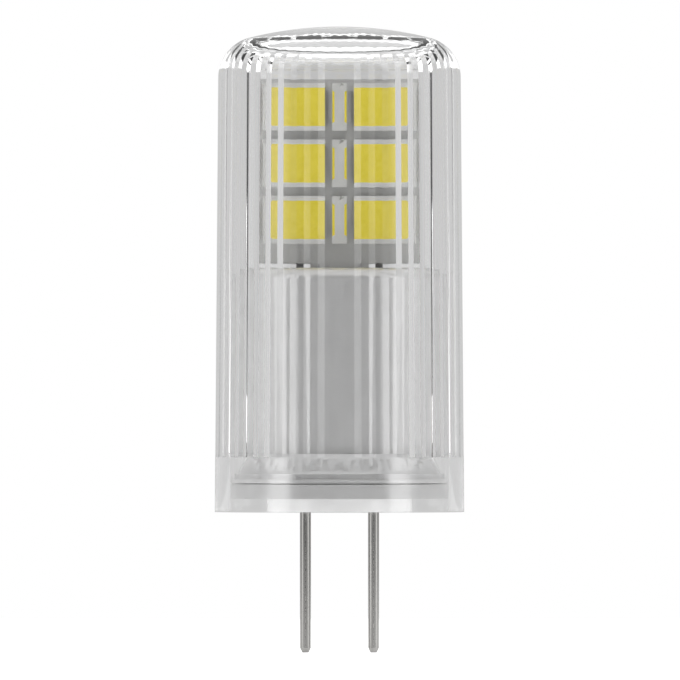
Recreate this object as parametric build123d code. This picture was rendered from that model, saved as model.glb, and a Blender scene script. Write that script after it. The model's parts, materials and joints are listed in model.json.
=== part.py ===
from build123d import *
from math import acos, cos, hypot, pi, radians, sin, sqrt, tan
import os

# Capsule lamp with two contact pins: a thick clear cover, fluted inside, over two LED boards
# that stand on a grey driver sleeve. Millimetres, Z up, pins down. The origin is the middle of
# the base plane, halfway between the pins, and the pins stand on the X axis.

# Contact pins
pin_pitch = 4.0
pin_diameter = 0.65
pin_reach = 8.25
pin_tip_diameter = 0.375
pin_tip_length = 0.27
pin_lap = 1.2
pin_fit = 0.02
pin_collar_diameter = 1.0
pin_collar_height = 0.4

# Clear cover
cover_wall = 1.73
cover_ceiling = 2.0
wall_draft = 0.45
shoulder_radius = 2.41
dome_radius = 21.9
skirt_wall = 0.87
skirt_depth = 3.23
rib_count = 44
rib_depth = 0.08

# Base plug
plug_thickness = 1.64
plug_fit = 0.05
boss_step = 2.15
boss_height = 0.79
land_height = 0.06
land_width = 0.5
spigot_height = 1.36
spigot_fit = 0.05

# Driver sleeve
sleeve_height = 12.63
sleeve_fit = 0.09
sleeve_wall = 0.5
sleeve_ceiling = 0.8
rim_radius = 0.7
lip_fit = 0.03
lip_height = 0.25
foot_step = 0.25
foot_height = 0.3
flare_step = 0.2
flare_lap = 0.19
slot_fit = 0.05

# Heat spreader and LED boards
spreader_thickness = 1.4
spreader_inset = 0.15
tongue_width = 4.4
tongue_reach = 1.73
board_thickness = 0.8
board_lift = 0.27
board_headroom = 1.08
board_corner_gap = 1.024
board_side_margin = 0.22
board_tongue_width = 3.2

# LED packages
led_width = 3.5
led_height = 2.8
led_thickness = 0.7
led_side_gap = 0.76
led_row_gap = 0.518
led_top_margin = 0.23
led_bottom_margin = 1.156
led_columns = 2
led_rows = 3
window_border = 0.27
window_corner = 0.25
window_depth = 0.4
window_slope = 0.1
cathode_notch = 0.25
terminal_length = 0.2
terminal_width = 1.9
terminal_thickness = 0.15

# Driver board and what it carries
driver_thickness = 0.8
driver_gap = 0.2
driver_top_gap = 0.3
part_gap = 0.2
solder_width = 1.0
solder_thickness = 0.3
rectifier_size = (3.6, 1.4, 2.2)
rectifier_lead_pitch = 2.2
driver_ic_size = (3.9, 1.4, 3.0)
driver_ic_lead_pitch = 1.0
package_chamfer = 0.175
lead_width = 0.4
lead_thickness = 0.15
lead_reach = 0.6
inductor_diameter = 3.4
inductor_height = 2.6
inductor_flange = 0.5
inductor_post_diameter = 1.5
winding_wall = 0.7
smoothing_diameter = 2.9
smoothing_length = 4.0
smoothing_groove = 0.15
chip_size = (0.8, 0.6, 1.6)
chip_edge_gap = 0.25
wire_diameter = 0.5
wire_drop = 0.55
wire_overrun = 0.5

# Base, from the pins up
draft = radians(wall_draft)
pin_radius = pin_diameter / 2
foot_bottom = plug_thickness + land_height
sleeve_top = foot_bottom + sleeve_height

# LED boards, from the packages that they carry
column_pitch = led_width + led_side_gap
row_pitch = led_height + led_row_gap
board_face = spreader_thickness / 2 + board_thickness
board_half_width = ((led_columns - 1) * column_pitch + led_width) / 2 + board_side_margin
board_bottom = sleeve_top + board_lift
bottom_row = board_bottom + led_bottom_margin + led_height / 2
board_top = bottom_row + (led_rows - 1) * row_pitch + led_height / 2 + led_top_margin
tongue_bottom = sleeve_top - tongue_reach

# Cover, round and over the boards
cavity_top = board_top + board_headroom
cover_height = cavity_top + cover_ceiling
dome_centre = cover_height - dome_radius
shoulder_x = hypot(board_half_width, board_face) + board_corner_gap + cover_wall - shoulder_radius
dome_angle = acos(shoulder_x / (dome_radius - shoulder_radius))
shoulder_z = dome_centre + (dome_radius - shoulder_radius) * sin(dome_angle)
cover_base_radius = shoulder_x + shoulder_radius / cos(draft) + shoulder_z * tan(draft)
skirt_bore = cover_base_radius - skirt_wall
plug_radius = skirt_bore - plug_fit


def wall_radius(height, inset=0.0):
    """Radius of the cover's side wall at a height, inset from its outer face."""
    return cover_base_radius - inset / cos(draft) - height * tan(draft)


def shoulder_point(angle):
    """Radius and height on the arc of the cover's shoulder."""
    return shoulder_x + shoulder_radius * cos(angle), shoulder_z + shoulder_radius * sin(angle)


def dome_point(radius):
    """Radius and height on the cover's dome."""
    return radius, dome_centre + sqrt(dome_radius**2 - radius**2)


# Sleeve in the cover, and the driver board in the sleeve
sleeve_radius = wall_radius(sleeve_top, cover_wall) - rib_depth / 2 - sleeve_fit
sleeve_bore = sleeve_radius - sleeve_wall
driver_bottom = plug_thickness + spigot_height
driver_top = tongue_bottom - driver_top_gap
driver_front = pin_radius + pin_fit
driver_back = driver_front + driver_thickness
driver_half_width = sqrt((sleeve_bore - driver_gap) ** 2 - driver_back**2)
pin_top = driver_bottom + pin_lap


def turned(*edges):
    """Solid turned about Z from the edges of a closed profile of (radius, height) points."""
    return revolve(Plane.XZ * make_face(list(edges)), Axis.Z)


def turned_outline(points):
    """Solid turned about Z from straight runs between (radius, height) points."""
    return turned(*Polyline(*points, close=True).edges())


def block(x, y, z):
    """Box between pairs of lowest and highest values along each axis."""
    size = (x[1] - x[0], y[1] - y[0], z[1] - z[0])
    return Pos(x[0], y[0], z[0]) * Box(*size, align=(Align.MIN, Align.MIN, Align.MIN))


def rod(radius, bottom, top):
    """Upright cylinder on the Z axis between two heights."""
    return Pos(0, 0, bottom) * Cylinder(radius, top - bottom, align=(Align.CENTER, Align.CENTER, Align.MIN))


def cover_body():
    """Outside of the cover, solid: drafted wall, round shoulder and shallow dome."""
    wall_end = shoulder_point(draft)
    dome_start = shoulder_point(dome_angle)
    return turned(
        Line((0, 0), (cover_base_radius, 0)),
        Line((cover_base_radius, 0), wall_end),
        ThreePointArc(wall_end, shoulder_point((draft + dome_angle) / 2), dome_start),
        ThreePointArc(dome_start, dome_point(dome_start[0] / 2), dome_point(0)),
        Line(dome_point(0), (0, 0)),
    )


def fluted_ring(height):
    """Star-shaped section of the fluted cavity, with a groove facing the front."""
    points = []
    for k in range(2 * rib_count):
        reach = wall_radius(height, cover_wall) + (rib_depth / 2 if k % 2 == 0 else -rib_depth / 2)
        turn = pi * k / rib_count - pi / 2
        points.append((reach * cos(turn), reach * sin(turn)))
    return Pos(0, 0, height) * make_face(Polyline(*points, close=True))


def fluted_cavity():
    """Air space in the cover, with V flutes up its drafted wall to a flat ceiling."""
    return loft([fluted_ring(skirt_depth / 2), fluted_ring(cavity_top)], ruled=True)


def clear_cover():
    """Moulded cover, open at the bottom, with a wider bore in its skirt for the plug and the sleeve's foot."""
    return cover_body() - rod(skirt_bore, 0, skirt_depth) - fluted_cavity()


def base_plug():
    """Disc that closes the cover, with a boss below round the pins and a spigot in the sleeve's bore."""
    boss = rod(plug_radius - boss_step, 0, boss_height)
    flange = rod(plug_radius, boss_height, plug_thickness)
    land = rod(sleeve_bore + land_width, plug_thickness, foot_bottom) - rod(sleeve_bore, plug_thickness, foot_bottom)
    spigot = rod(sleeve_bore - spigot_fit, plug_thickness, driver_bottom)
    plug = boss + flange + spigot + land
    for side in (-1, 1):
        hole = rod(pin_radius + pin_fit, 0, driver_bottom)
        seat = rod(pin_collar_diameter / 2 + pin_fit, 0, pin_collar_height + pin_fit)
        plug -= Pos(side * pin_pitch / 2, 0, 0) * (hole + seat)
    return plug


def contact_pin(side):
    """Round contact pin with a short tapered tip and a collar that is seated in the plug's boss."""
    tip = -pin_reach
    profile = [
        (0, tip),
        (pin_tip_diameter / 2, tip),
        (pin_radius, tip + pin_tip_length),
        (pin_radius, 0),
        (pin_collar_diameter / 2, 0),
        (pin_collar_diameter / 2, pin_collar_height),
        (pin_radius, pin_collar_height),
        (pin_radius, pin_top),
        (0, pin_top),
    ]
    return Pos(side * pin_pitch / 2, 0, 0) * turned_outline(profile)


def driver_sleeve():
    """Grey cup over the driver, with a flared foot, a closed top and a slot for the board tongues."""
    lip_radius = skirt_bore - lip_fit
    foot_radius = lip_radius - foot_step
    lip_top = foot_bottom + lip_height
    foot_top = lip_top + foot_height
    profile = [
        (0, foot_bottom),
        (lip_radius, foot_bottom),
        (lip_radius, lip_top),
        (foot_radius, lip_top),
        (foot_radius, foot_top),
        (foot_radius - flare_step, foot_top),
        (sleeve_radius, skirt_depth + flare_lap),
        (sleeve_radius, sleeve_top),
        (0, sleeve_top),
    ]
    sleeve = turned_outline(profile)
    sleeve = fillet(sleeve.edges().filter_by(GeomType.CIRCLE).sort_by(Axis.Z)[-1], rim_radius)
    sleeve -= rod(sleeve_bore, foot_bottom, sleeve_top - sleeve_ceiling)
    slot_x = tongue_width / 2 + slot_fit
    slot_y = board_face + slot_fit
    return sleeve - block((-slot_x, slot_x), (-slot_y, slot_y), (sleeve_top - 2 * sleeve_ceiling, sleeve_top))


def heat_spreader():
    """Metal plate between the two LED boards, with a tongue through the sleeve's slot."""
    half = spreader_thickness / 2
    half_width = board_half_width - spreader_inset
    plate = block((-half_width, half_width), (-half, half), (board_bottom, board_top))
    tongue = block((-tongue_width / 2, tongue_width / 2), (-half, half), (tongue_bottom, board_bottom))
    return plate + tongue


def on_side(side, inner, outer):
    """Y range between two distances from the middle, on the front (-1) or the back (1)."""
    return tuple(sorted((side * inner, side * outer)))


def led_board(side):
    """White board against the spreader, with a narrow tongue down to the driver."""
    depth = on_side(side, spreader_thickness / 2, board_face)
    board = block((-board_half_width, board_half_width), depth, (board_bottom, board_top))
    half = board_tongue_width / 2
    return board + block((-half, half), depth, (tongue_bottom, board_bottom))


def led_places():
    """Centres of the LED packages on a board, row by row from the upper left."""
    for row in reversed(range(led_rows)):
        for column in range(led_columns):
            yield (column - (led_columns - 1) / 2) * column_pitch, bottom_row + row * row_pitch


def led_plane(side, x, z, distance):
    """Plane of a package facing out of the board, with its own x to the right as it is seen."""
    return Plane(origin=(-side * x, side * distance, z), x_dir=(-side, 0, 0), z_dir=(0, side, 0))


def cut_corner_window(inset, corner):
    """Window outline with its four corners cut off."""
    width = led_width - 2 * (window_border + inset)
    height = led_height - 2 * (window_border + inset)
    return chamfer(Rectangle(width, height).vertices(), corner)


def phosphor_fill():
    """Phosphor in the package's tapered cup, drawn with the package's front face at zero."""
    mouth = cut_corner_window(0, window_corner)
    floor = Pos(0, 0, -window_depth) * cut_corner_window(window_slope, window_corner)
    return loft([floor.face(), mouth.face()], ruled=True)


def package_body():
    """White LED package with a cup for the phosphor and one corner notched as the polarity mark."""
    body = Pos(0, 0, -led_thickness) * extrude(Rectangle(led_width, led_height), led_thickness)
    corner = Pos(-led_width / 2, led_height / 2, 0) * Rot(0, 0, 45) * Box(
        cathode_notch, 2 * cathode_notch, 2 * window_depth
    )
    return body - corner - phosphor_fill()


def led_terminals(side):
    """Two solder tabs beside each package of a board, as one group."""
    tabs = []
    for x, z in led_places():
        for end in (-1, 1):
            inner = x + end * led_width / 2
            tab_x = tuple(sorted((inner, inner + end * terminal_length)))
            tab_z = (z - terminal_width / 2, z + terminal_width / 2)
            tabs.append(block(tab_x, on_side(side, board_face, board_face + terminal_thickness), tab_z))
    return Compound(tabs)


def driver_board():
    """Circuit board that stands on the spigot behind the pins."""
    return block((-driver_half_width, driver_half_width), (driver_front, driver_back), (driver_bottom, driver_top))


def pin_solder():
    """Solder pads that join the pins to the driver board, as one group."""
    joints = []
    for side in (-1, 1):
        x = side * pin_pitch / 2
        reach = (x - solder_width / 2, x + solder_width / 2)
        pad = block(reach, (driver_front - solder_thickness, driver_front), (driver_bottom + part_gap, pin_top))
        joints.append(pad - Pos(x, 0, 0) * rod(pin_radius + pin_fit, 0, pin_top + part_gap))
    return Compound([solid for joint in joints for solid in joint.solids()])


def chip_package(size, side, bottom):
    """Moulded package on the front (-1) or back (1) of the driver board, with a chamfered top."""
    face = driver_front if side < 0 else driver_back
    depth = tuple(sorted((face, face + side * size[1])))
    body = block((-size[0] / 2, size[0] / 2), depth, (bottom, bottom + size[2]))
    outer = body.faces().sort_by(Axis.Y)[0 if side < 0 else -1]
    return chamfer(outer.edges(), package_chamfer)


def chip_leads(size, side, bottom, count, pitch):
    """Bent leads on both sides of a package, as one group."""
    face = driver_front if side < 0 else driver_back
    middle = bottom + size[2] / 2
    leads = []
    for end in (-1, 1):
        for k in range(count):
            z = middle + (k - (count - 1) / 2) * pitch
            width = (z - lead_width / 2, z + lead_width / 2)
            inner = end * size[0] / 2
            foot_x = tuple(sorted((inner, inner + end * lead_reach)))
            riser_x = tuple(sorted((inner, inner + end * lead_thickness)))
            foot = block(foot_x, tuple(sorted((face, face + side * lead_thickness))), width)
            riser = block(riser_x, tuple(sorted((face, face + side * size[1] / 2))), width)
            leads.append(foot + riser)
    return Compound([solid for lead in leads for solid in lead.solids()])


def inductor_place():
    """Plane on the front of the driver board where the inductor stands, facing the front."""
    z = driver_top - wire_drop - part_gap - inductor_diameter / 2
    return Plane(origin=(0, driver_front, z), x_dir=(1, 0, 0), z_dir=(0, -1, 0))


def inductor_core():
    """Ferrite drum with a flange at each end."""
    half = inductor_diameter / 2
    post = inductor_post_diameter / 2
    profile = [
        (0, 0),
        (half, 0),
        (half, inductor_flange),
        (post, inductor_flange),
        (post, inductor_height - inductor_flange),
        (half, inductor_height - inductor_flange),
        (half, inductor_height),
        (0, inductor_height),
    ]
    return inductor_place() * turned_outline(profile)


def inductor_winding():
    """Copper winding between the drum's flanges, as one ring."""
    inner = inductor_post_diameter / 2 + pin_fit
    outer = inner + winding_wall
    bottom = inductor_flange + pin_fit
    top = inductor_height - inductor_flange - pin_fit
    return inductor_place() * (rod(outer, bottom, top) - rod(inner, bottom, top))


def smoothing_capacitor():
    """Round capacitor lying upright against the back of the driver board, with a crimp groove."""
    radius = smoothing_diameter / 2
    top = driver_top - part_gap
    bottom = top - smoothing_length
    groove = bottom + 3 * smoothing_groove
    profile = [
        (0, bottom),
        (radius, bottom),
        (radius, groove),
        (radius - smoothing_groove, groove + smoothing_groove),
        (radius, groove + 2 * smoothing_groove),
        (radius, top),
        (0, top),
    ]
    return Pos(0, driver_back + radius + pin_fit, 0) * turned_outline(profile)


def edge_chip(side, face_side):
    """Small chip part near the board's edge, on the front (-1) or back (1) face."""
    face = driver_front if face_side < 0 else driver_back
    outer = side * (driver_half_width - chip_edge_gap)
    x = tuple(sorted((outer, outer - side * chip_size[0])))
    middle = (driver_bottom + driver_top) / 2
    depth = tuple(sorted((face, face + face_side * chip_size[1])))
    return block(x, depth, (middle - chip_size[2] / 2, middle + chip_size[2] / 2))


def link_wire(side):
    """Straight wire from the foot of an LED board's tongue to the driver board's near edge."""
    x = -side * board_tongue_width / 4
    board_y = side * (spreader_thickness + board_thickness) / 2
    radius = wire_diameter / 2
    if side > 0:
        return Pos(x, board_y, 0) * rod(radius, driver_top, tongue_bottom)
    foot = Vector(x, driver_front, driver_top - wire_drop)
    head = Vector(x, board_y, tongue_bottom)
    run = Plane(origin=foot, z_dir=head - foot)
    wire = run * rod(radius, -wire_overrun, (head - foot).length + wire_overrun)
    room = block((x - wire_diameter, x + wire_diameter), (2 * board_y, driver_front), (driver_bottom, tongue_bottom))
    return wire & room


def all_nodes():
    """Every separate piece by name."""
    rectifier_bottom = pin_top + part_gap
    ic_bottom = driver_bottom + part_gap
    nodes = {
        "clear_cover": clear_cover(),
        "base_plug": base_plug(),
        "pin_left": contact_pin(-1),
        "pin_right": contact_pin(1),
        "driver_sleeve": driver_sleeve(),
        "heat_spreader": heat_spreader(),
        "driver_board": driver_board(),
        "pin_solder": pin_solder(),
        "bridge_rectifier": chip_package(rectifier_size, -1, rectifier_bottom),
        "rectifier_leads": chip_leads(rectifier_size, -1, rectifier_bottom, 2, rectifier_lead_pitch / 2),
        "driver_ic": chip_package(driver_ic_size, 1, ic_bottom),
        "driver_ic_leads": chip_leads(driver_ic_size, 1, ic_bottom, 3, driver_ic_lead_pitch),
        "inductor_core": inductor_core(),
        "inductor_winding": inductor_winding(),
        "smoothing_capacitor": smoothing_capacitor(),
        "sense_resistor_left": edge_chip(-1, -1),
        "sense_resistor_right": edge_chip(1, -1),
        "chip_capacitor_left": edge_chip(-1, 1),
        "chip_capacitor_right": edge_chip(1, 1),
    }
    package = package_body()
    phosphor = phosphor_fill()
    for side, name in ((-1, "front"), (1, "back")):
        nodes[f"led_board_{name}"] = led_board(side)
        nodes[f"led_terminals_{name}"] = led_terminals(side)
        nodes[f"link_wire_{name}"] = link_wire(side)
        for number, (x, z) in enumerate(led_places(), start=1):
            place = led_plane(side, x, z, board_face + led_thickness)
            nodes[f"led_package_{name}_{number}"] = place * package
            nodes[f"phosphor_{name}_{number}"] = place * phosphor
    return nodes


os.makedirs("parts", exist_ok=True)
for node, shape in all_nodes().items():
    export_step(shape, f"parts/{node}.step")
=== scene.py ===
import json
from math import acos, cos, pi, radians, sin, tan

import bmesh
import bpy
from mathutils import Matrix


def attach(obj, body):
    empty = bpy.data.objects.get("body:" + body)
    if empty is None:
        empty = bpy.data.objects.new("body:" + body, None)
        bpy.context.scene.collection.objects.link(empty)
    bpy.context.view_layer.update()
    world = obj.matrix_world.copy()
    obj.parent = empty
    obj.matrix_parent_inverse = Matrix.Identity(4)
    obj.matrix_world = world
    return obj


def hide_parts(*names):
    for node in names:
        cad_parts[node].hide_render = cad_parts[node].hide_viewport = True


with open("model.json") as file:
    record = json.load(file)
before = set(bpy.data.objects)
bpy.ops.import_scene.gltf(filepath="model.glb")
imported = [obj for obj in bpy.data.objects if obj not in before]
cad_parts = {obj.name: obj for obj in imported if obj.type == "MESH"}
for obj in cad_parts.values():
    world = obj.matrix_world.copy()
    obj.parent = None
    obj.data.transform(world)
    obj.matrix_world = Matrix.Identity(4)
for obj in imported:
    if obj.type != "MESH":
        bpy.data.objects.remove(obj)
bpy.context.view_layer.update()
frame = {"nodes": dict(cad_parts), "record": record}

# Sizes in millimetres, as in the part's source, but for the cavity's rounded top corner
MM = 0.001
TURNS = 352
PIN_RADIUS = 0.325
PIN_REACH = 8.25
PIN_TOP = 4.2
PIN_X = 2.0
PIN_TIP_RADIUS = 0.1875
PIN_TIP_LENGTH = 0.27
COVER_BASE_RADIUS = 7.32
COVER_HEIGHT = 28.502
COVER_WALL = 1.73
WALL_DRAFT = radians(0.45)
SHOULDER_RADIUS = 2.41
DOME_RADIUS = 21.9
SKIRT_BORE = 6.45
SKIRT_DEPTH = 3.23
RIB_COUNT = 44
RIB_DEPTH = 0.08
CEILING = 26.502
CEILING_CORNER = 0.7
PLUG_RADIUS = 6.4
PLUG_THICKNESS = 1.64
BOSS_RADIUS = 4.25
BOSS_HEIGHT = 0.79
FOOT_BOTTOM = 1.7
SPIGOT_TOP = 3.0
SLEEVE_TOP = 14.33
SLEEVE_WALL = 0.5
SLEEVE_CEILING = 0.8
RIM_RADIUS = 0.7
SLEEVE_FIT = 0.09
SPIGOT_FIT = 0.05
LIP_RADIUS = 6.42
LIP_TOP = 1.95
FOOT_RADIUS = 6.17
FOOT_TOP = 2.25
FLARE_RADIUS = 5.97
FLARE_TOP = 3.42

# View of the photograph: scale in pixels per millimetre, and the pixel of the origin
PHOTO_SIDE = 680
PHOTO_SCALE = 17.03
ORIGIN_PIXEL = (339.5, 512.0)
CAMERA_LENS = 1500
SENSOR = 36

# Brightness of the surroundings: above, and round the horizon from the camera's side (0) to the back (1)
TOP_LIGHT = 1.6
AROUND = ((0.0, 0.05), (0.15, 0.05), (0.2, 1.8), (0.32, 1.8), (0.4, 0.58), (1.0, 0.6))


def height_on_dome(base_radius, radius):
    """Height where a line with the wall's draft meets the sphere of this radius about the dome's centre."""
    centre = COVER_HEIGHT - DOME_RADIUS
    slope = tan(WALL_DRAFT)
    middle = base_radius * slope + centre
    spread = (1 + slope**2) * (base_radius**2 + centre**2 - radius**2)
    return (middle + (middle**2 - spread) ** 0.5) / (1 + slope**2)


SHOULDER_LINE = COVER_BASE_RADIUS - SHOULDER_RADIUS / cos(WALL_DRAFT)
SHOULDER_Z = height_on_dome(SHOULDER_LINE, DOME_RADIUS - SHOULDER_RADIUS)
SHOULDER_X = SHOULDER_LINE - SHOULDER_Z * tan(WALL_DRAFT)
DOME_ANGLE = acos(SHOULDER_X / (DOME_RADIUS - SHOULDER_RADIUS))


def wall_radius(height, inset=0.0):
    return COVER_BASE_RADIUS - inset / cos(WALL_DRAFT) - height * tan(WALL_DRAFT)


def shoulder_points(inset, steps):
    """Points up the shoulder's arc, from the wall to the dome."""
    reach = SHOULDER_RADIUS - inset
    for step in range(steps + 1):
        angle = WALL_DRAFT + (DOME_ANGLE - WALL_DRAFT) * step / steps
        yield SHOULDER_X + reach * cos(angle), SHOULDER_Z + reach * sin(angle)


def dome_points(start, inset, steps):
    """Points over the dome from a radius towards the axis, without the apex."""
    sphere = DOME_RADIUS - inset
    for step in range(1, steps):
        radius = start * (1 - step / steps)
        yield radius, COVER_HEIGHT - DOME_RADIUS + (sphere**2 - radius**2) ** 0.5


class Shell:
    """A mesh grown ring by ring about the Z axis."""

    def __init__(self):
        self.mesh = bmesh.new()

    def ring(self, radius, height, count=TURNS, x=0.0):
        if radius == 0:
            return [self.mesh.verts.new((x * MM, 0, height * MM))]
        turns = [2 * pi * k / count - pi / 2 for k in range(count)]
        places = [(x + radius * cos(turn), radius * sin(turn), height) for turn in turns]
        return [self.mesh.verts.new([MM * value for value in place]) for place in places]

    def star(self, radius, height):
        """Ring of the fluted wall, with a groove facing the front."""
        points = []
        for k in range(2 * RIB_COUNT):
            reach = radius + (RIB_DEPTH / 2 if k % 2 == 0 else -RIB_DEPTH / 2)
            turn = pi * k / RIB_COUNT - pi / 2
            points.append(self.mesh.verts.new((reach * cos(turn) * MM, reach * sin(turn) * MM, height * MM)))
        return points

    def join(self, a, b):
        """Faces between two rings. One may be a point, or have several vertices for one of the other."""
        if len(a) < len(b):
            a, b = b, a
        share = len(a) // len(b)
        for k in range(len(b) if len(b) > 1 else len(a)):
            if len(b) == 1:
                corners = [a[k], a[(k + 1) % len(a)], b[0]]
            else:
                corners = [a[(k * share + i) % len(a)] for i in range(share + 1)]
                corners += [b[(k + 1) % len(b)], b[k]]
            self.mesh.faces.new(corners)

    def turned(self, points, count=TURNS, x=0.0):
        """Closed surface turned from an outline that starts and ends on the axis."""
        rings = [self.ring(radius, height, count, x) for radius, height in points]
        for a, b in zip(rings, rings[1:]):
            self.join(a, b)

    def piece(self, name, sharp=12):
        bmesh.ops.recalc_face_normals(self.mesh, faces=self.mesh.faces)
        data = bpy.data.meshes.new(name)
        self.mesh.to_mesh(data)
        self.mesh.free()
        data.polygons.foreach_set("use_smooth", [True] * len(data.polygons))
        data.set_sharp_from_angle(angle=radians(sharp))
        obj = bpy.data.objects.new(name, data)
        bpy.context.scene.collection.objects.link(obj)
        return obj


def arc(centre, radius, start, end, steps):
    """Points on an arc, angles in degrees."""
    for step in range(steps + 1):
        turn = radians(start + (end - start) * step / steps)
        yield centre[0] + radius * cos(turn), centre[1] + radius * sin(turn)


def sleeve_radius():
    return wall_radius(SLEEVE_TOP, COVER_WALL) - RIB_DEPTH / 2 - SLEEVE_FIT


def cover_piece():
    shell = Shell()
    outside = [(COVER_BASE_RADIUS, 0), *shoulder_points(0, 24)]
    outside += [*dome_points(outside[-1][0], 0, 24), (0, COVER_HEIGHT)]
    rings = [shell.ring(*point) for point in reversed(outside)]
    rings += [shell.ring(SKIRT_BORE, 0), shell.ring(SKIRT_BORE, SKIRT_DEPTH)]
    rings.append(shell.star(wall_radius(SKIRT_DEPTH, COVER_WALL), SKIRT_DEPTH))
    corner = (wall_radius(CEILING, COVER_WALL) - CEILING_CORNER, CEILING - CEILING_CORNER)
    rings += [shell.star(*point) for point in arc(corner, CEILING_CORNER, 0, 90, 10)]
    rings.append(shell.ring(0, CEILING))
    for a, b in zip(rings, rings[1:]):
        shell.join(a, b)
    return shell.piece("cover_clear")


def plug_piece():
    spigot_radius = sleeve_radius() - SLEEVE_WALL - SPIGOT_FIT
    shell = Shell()
    shell.turned([
        (0, SPIGOT_TOP),
        (spigot_radius, SPIGOT_TOP),
        (spigot_radius, PLUG_THICKNESS),
        (PLUG_RADIUS, PLUG_THICKNESS),
        (PLUG_RADIUS, BOSS_HEIGHT),
        (BOSS_RADIUS, BOSS_HEIGHT),
        (BOSS_RADIUS, 0),
        (0, 0),
    ])
    return shell.piece("plug_grey")


def sleeve_piece():
    radius = sleeve_radius()
    bore = radius - SLEEVE_WALL
    rim = list(arc((radius - RIM_RADIUS, SLEEVE_TOP - RIM_RADIUS), RIM_RADIUS, 90, 0, 16))
    shell = Shell()
    shell.turned([
        (0, SLEEVE_TOP),
        *rim,
        (radius, FLARE_TOP),
        (FLARE_RADIUS, FOOT_TOP),
        (FOOT_RADIUS, FOOT_TOP),
        (FOOT_RADIUS, LIP_TOP),
        (LIP_RADIUS, LIP_TOP),
        (LIP_RADIUS, FOOT_BOTTOM),
        (bore, FOOT_BOTTOM),
        (bore, SLEEVE_TOP - SLEEVE_CEILING),
        (0, SLEEVE_TOP - SLEEVE_CEILING),
    ])
    return shell.piece("sleeve_grey")


def pin_piece(name, side):
    shell = Shell()
    tip = -PIN_REACH
    shell.turned([
        (0, tip),
        (PIN_TIP_RADIUS, tip),
        (PIN_RADIUS, tip + PIN_TIP_LENGTH),
        (PIN_RADIUS, PIN_TOP),
        (0, PIN_TOP),
    ], 64, side * PIN_X)
    return shell.piece(name, 20)


def material(name, base, roughness, metallic=0.0, transmission=0.0, ior=1.5):
    """Principled material with its constants on the shader's own sockets, and its node tree for more."""
    made = bpy.data.materials.new(name)
    made.use_nodes = True
    shader = made.node_tree.nodes["Principled BSDF"]
    shader.inputs["Base Color"].default_value = (*base, 1)
    shader.inputs["Roughness"].default_value = roughness
    shader.inputs["Metallic"].default_value = metallic
    shader.inputs["Transmission Weight"].default_value = transmission
    shader.inputs["IOR"].default_value = ior
    return made


def noise(made, scale, stretch=(1, 1, 1), detail=3.0):
    """Noise texture in object space, stretched along the axes. Returns its factor socket."""
    nodes = made.node_tree.nodes
    links = made.node_tree.links
    place = nodes.new("ShaderNodeTexCoord")
    mapping = nodes.new("ShaderNodeMapping")
    mapping.inputs["Scale"].default_value = stretch
    texture = nodes.new("ShaderNodeTexNoise")
    texture.inputs["Scale"].default_value = scale
    texture.inputs["Detail"].default_value = detail
    links.new(place.outputs["Object"], mapping.inputs["Vector"])
    links.new(mapping.outputs["Vector"], texture.inputs["Vector"])
    return texture.outputs["Fac"]


def vary_colour(made, factor, low, high):
    """Base colour that runs between two colours with a factor."""
    nodes = made.node_tree.nodes
    ramp = nodes.new("ShaderNodeValToRGB")
    ramp.color_ramp.elements[0].position = 0.35
    ramp.color_ramp.elements[1].position = 0.65
    ramp.color_ramp.elements[0].color = (*low, 1)
    ramp.color_ramp.elements[1].color = (*high, 1)
    made.node_tree.links.new(factor, ramp.inputs["Fac"])
    made.node_tree.links.new(ramp.outputs["Color"], nodes["Principled BSDF"].inputs["Base Color"])


def vary_roughness(made, factor, low, high):
    nodes = made.node_tree.nodes
    spread = nodes.new("ShaderNodeMapRange")
    spread.inputs["To Min"].default_value = low
    spread.inputs["To Max"].default_value = high
    made.node_tree.links.new(factor, spread.inputs["Value"])
    made.node_tree.links.new(spread.outputs["Result"], nodes["Principled BSDF"].inputs["Roughness"])


def bump(made, factor, distance, strength=1.0):
    nodes = made.node_tree.nodes
    relief = nodes.new("ShaderNodeBump")
    relief.inputs["Distance"].default_value = distance
    relief.inputs["Strength"].default_value = strength
    made.node_tree.links.new(factor, relief.inputs["Height"])
    made.node_tree.links.new(relief.outputs["Normal"], nodes["Principled BSDF"].inputs["Normal"])


def moulded(name, low, high, roughness, scale=600, relief=0.000002, metallic=0.0):
    """Opaque moulded surface: slight mottling in colour, roughness and relief."""
    made = material(name, high, roughness, metallic=metallic)
    factor = noise(made, scale)
    vary_colour(made, factor, low, high)
    vary_roughness(made, noise(made, scale * 2), roughness * 0.8, roughness * 1.2)
    bump(made, noise(made, scale * 4), relief)
    return made


def painted_glow(made, colour, strength):
    """Adds painted glow: emission on a surface that is no lamp, to brighten its colour."""
    shader = made.node_tree.nodes["Principled BSDF"]
    shader.inputs["Emission Color"].default_value = (*colour, 1)
    shader.inputs["Emission Strength"].default_value = strength


def clear_plastic(name, tint, ior):
    made = material(name, tint, 0.0, transmission=1.0, ior=ior)
    vary_roughness(made, noise(made, 300), 0.0, 0.015)
    return made


def drawn_metal(name, low, high, roughness):
    """Metal with fine lines along Z."""
    made = material(name, high, roughness, metallic=1.0)
    vary_colour(made, noise(made, 3000, (1, 1, 0.03)), low, high)
    vary_roughness(made, noise(made, 5000, (1, 1, 0.03)), roughness * 0.8, roughness * 1.3)
    bump(made, noise(made, 9000, (1, 1, 0.02)), 0.000001)
    return made


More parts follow.
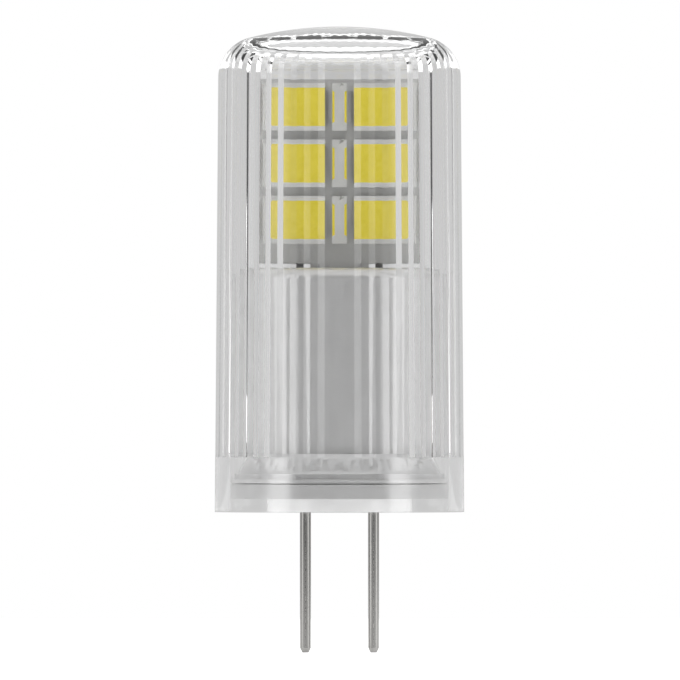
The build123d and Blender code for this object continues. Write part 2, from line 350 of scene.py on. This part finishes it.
materials = {
    "cover": clear_plastic("cover_plastic", (0.985, 0.985, 0.985), 1.585),
    "plug": moulded("plug_plastic", (0.72, 0.72, 0.72), (0.76, 0.76, 0.76), 0.2, metallic=0.1),
    "pins": drawn_metal("pin_metal", (0.3, 0.295, 0.285), (0.36, 0.355, 0.345), 0.16),
    "sleeve": moulded("sleeve_plastic", (0.83, 0.83, 0.83), (0.87, 0.87, 0.87), 0.06, metallic=0.15),
    "spreader": drawn_metal("spreader_metal", (0.66, 0.66, 0.67), (0.76, 0.76, 0.77), 0.35),
    "board": moulded("board_mask", (0.6, 0.6, 0.59), (0.64, 0.64, 0.63), 0.35),
    "driver_board": moulded("driver_mask", (0.02, 0.12, 0.05), (0.03, 0.16, 0.07), 0.3),
    "solder": drawn_metal("solder_metal", (0.6, 0.6, 0.6), (0.72, 0.72, 0.72), 0.3),
    "terminals": drawn_metal("terminal_metal", (0.6, 0.6, 0.58), (0.74, 0.74, 0.72), 0.3),
    "package": moulded("package_plastic", (0.77, 0.77, 0.75), (0.81, 0.81, 0.79), 0.4),
    "phosphor": moulded("phosphor_resin", (0.86, 0.72, 0.06), (0.9, 0.76, 0.08), 0.25, scale=4000),
    "chip": moulded("chip_plastic", (0.01, 0.01, 0.01), (0.02, 0.02, 0.02), 0.45),
    "ferrite": moulded("ferrite_body", (0.02, 0.02, 0.02), (0.04, 0.04, 0.04), 0.6),
    "winding": drawn_metal("winding_enamel", (0.5, 0.18, 0.06), (0.62, 0.26, 0.1), 0.25),
    "capacitor": moulded("capacitor_wrap", (0.04, 0.04, 0.07), (0.06, 0.06, 0.1), 0.3),
    "resistor": moulded("resistor_body", (0.02, 0.02, 0.02), (0.04, 0.04, 0.04), 0.4),
    "chip_capacitor": moulded("chip_capacitor_body", (0.35, 0.25, 0.15), (0.45, 0.33, 0.2), 0.4),
    "wire": moulded("wire_insulation", (0.5, 0.03, 0.02), (0.6, 0.05, 0.03), 0.3),
}


# Painted glow: emission on the phosphor resin, which is no lamp, to brighten its yellow.
painted_glow(materials["phosphor"], (1, 0.8, 0.08), 0.12)


def finish_piece(obj, slot, *nodes):
    """Gives a new piece the material of its slot, attaches it to the root body, and hides the CAD nodes it
    replaces.
    """
    obj.data.materials.append(materials[slot])
    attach(obj, "root")
    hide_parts(*nodes)


def dress_nodes():
    """Gives every CAD node the material of its slot."""
    for part in frame["record"]["subparts"]:
        obj = frame["nodes"][part["node"]]
        obj.data.materials.clear()
        obj.data.materials.append(materials[part["material_slot"]])


def studio():
    """Surroundings: bright above and in a strip on each side of the camera, grey behind, dark at the camera."""
    world = bpy.data.worlds.new("studio")
    world.use_nodes = True
    nodes = world.node_tree.nodes
    links = world.node_tree.links
    place = nodes.new("ShaderNodeTexCoord")
    split = nodes.new("ShaderNodeSeparateXYZ")
    links.new(place.outputs["Generated"], split.inputs["Vector"])
    depth = nodes.new("ShaderNodeMapRange")
    depth.inputs["From Min"].default_value = -1
    links.new(split.outputs["Y"], depth.inputs["Value"])
    around = nodes.new("ShaderNodeValToRGB")
    for position, strength in AROUND[1:-1]:
        around.color_ramp.elements.new(position)
    for element, (position, strength) in zip(around.color_ramp.elements, AROUND):
        element.position = position
        element.color = (strength, strength, strength, 1)
    links.new(depth.outputs["Result"], around.inputs["Fac"])
    above = nodes.new("ShaderNodeMapRange")
    above.inputs["From Min"].default_value = 0.6
    above.inputs["From Max"].default_value = 0.8
    links.new(split.outputs["Z"], above.inputs["Value"])
    level = nodes.new("ShaderNodeMix")
    level.inputs["B"].default_value = TOP_LIGHT
    links.new(above.outputs["Result"], level.inputs["Factor"])
    links.new(around.outputs["Color"], level.inputs["A"])
    sight = nodes.new("ShaderNodeLightPath")
    seen = nodes.new("ShaderNodeMix")
    seen.inputs["B"].default_value = 1.0
    links.new(level.outputs["Result"], seen.inputs["A"])
    links.new(sight.outputs["Is Camera Ray"], seen.inputs["Factor"])
    links.new(seen.outputs["Result"], nodes["Background"].inputs["Strength"])
    nodes["Background"].inputs["Color"].default_value = (1, 1, 1, 1)
    bpy.context.scene.world = world


def floor():
    side = 0.4
    bpy.ops.mesh.primitive_plane_add(size=side, location=(0, 0, -PIN_REACH * MM))
    plane = bpy.context.object
    plane.name = "floor"
    pale = moulded("floor_paper", (0.88, 0.88, 0.88), (0.9, 0.9, 0.9), 0.8, scale=40)
    shader = pale.node_tree.nodes["Principled BSDF"]
    shader.inputs["Emission Color"].default_value = (1, 1, 1, 1)
    shader.inputs["Emission Strength"].default_value = 0.6
    plane.data.materials.append(pale)


def camera():
    """Level view along +Y, so far off with so long a lens that depth hardly shows."""
    data = bpy.data.cameras.new("camera")
    data.lens = CAMERA_LENS
    data.sensor_width = SENSOR
    width = PHOTO_SIDE / PHOTO_SCALE * MM
    distance = width * CAMERA_LENS / SENSOR
    x = (PHOTO_SIDE / 2 - ORIGIN_PIXEL[0]) / PHOTO_SCALE * MM
    z = (ORIGIN_PIXEL[1] - PHOTO_SIDE / 2) / PHOTO_SCALE * MM
    data.clip_start = distance / 10
    data.clip_end = distance * 2
    obj = bpy.data.objects.new("camera", data)
    obj.location = (x, -distance, z)
    obj.rotation_euler = (pi / 2, 0, 0)
    bpy.context.scene.collection.objects.link(obj)
    bpy.context.scene.camera = obj


dress_nodes()
finish_piece(cover_piece(), "cover", "clear_cover")
finish_piece(plug_piece(), "plug", "base_plug")
finish_piece(sleeve_piece(), "sleeve", "driver_sleeve")
finish_piece(pin_piece("pin_left_drawn", -1), "pins", "pin_left")
finish_piece(pin_piece("pin_right_drawn", 1), "pins", "pin_right")
studio()
floor()
camera()
scene = bpy.context.scene
scene.view_settings.view_transform = "Standard"
scene.cycles.max_bounces = 24
scene.cycles.transmission_bounces = 24
scene.cycles.glossy_bounces = 12
